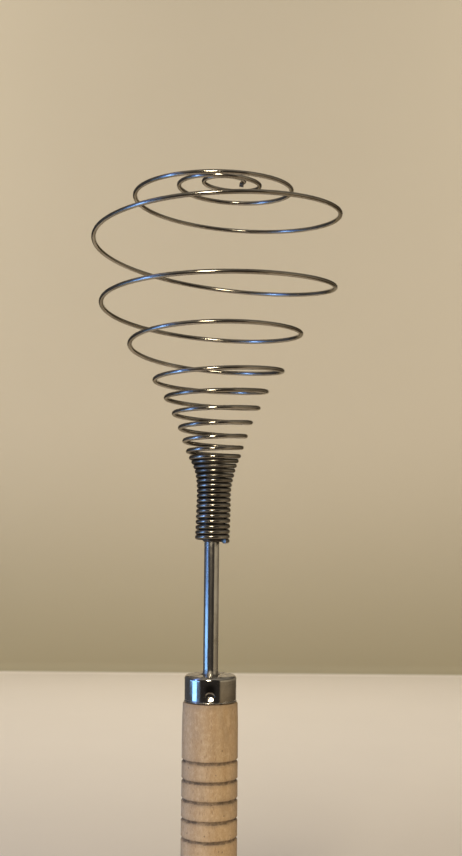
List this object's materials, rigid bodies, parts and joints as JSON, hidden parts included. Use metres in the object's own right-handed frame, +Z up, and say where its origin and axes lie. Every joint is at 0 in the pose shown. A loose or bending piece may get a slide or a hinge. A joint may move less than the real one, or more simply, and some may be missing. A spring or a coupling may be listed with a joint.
{
  "type": "spiral whisk",
  "caption": "Spiral coil whisk: steel wire wound into a collar and an open, widening spring head, on a plated rod with a steel ferrule and a turned, grooved wooden handle.",
  "frame": {"origin": "centre of the flat at the butt of the handle", "axes": "+Z up along the handle and rod towards the coil head; -Y is the side with the ferrule's punch mark"},
  "size_m": [0.0854, 0.0857, 0.2808],
  "materials": {
    "beech_wood": "turned and sanded, unvarnished, flecked, with dark worn grooves",
    "plated_cap": "bright nickel plate, a little dulled and tarnished",
    "polished_rod": "bright drawn steel, plated",
    "dark_plug": "dull dark steel",
    "spring_steel": "bright plated spring wire with fine dark drawing marks"
  },
  "bodies": {
    "stem": {"handle": "beech_wood", "ferrule": "plated_cap", "rod": "polished_rod", "spring_plug": "dark_plug"},
    "head": {"spring_wire": "spring_steel"}
  },
  "joints": [
    {"name": "head_plunge", "type": "slide", "parent": "stem", "child": "head", "axis": [0, 0, 1], "range_m": [-0.045, 0.01], "stiffness_N_per_m": 40, "springref_m": 0.0052, "deforming": ["spring_wire"]}
  ]
}
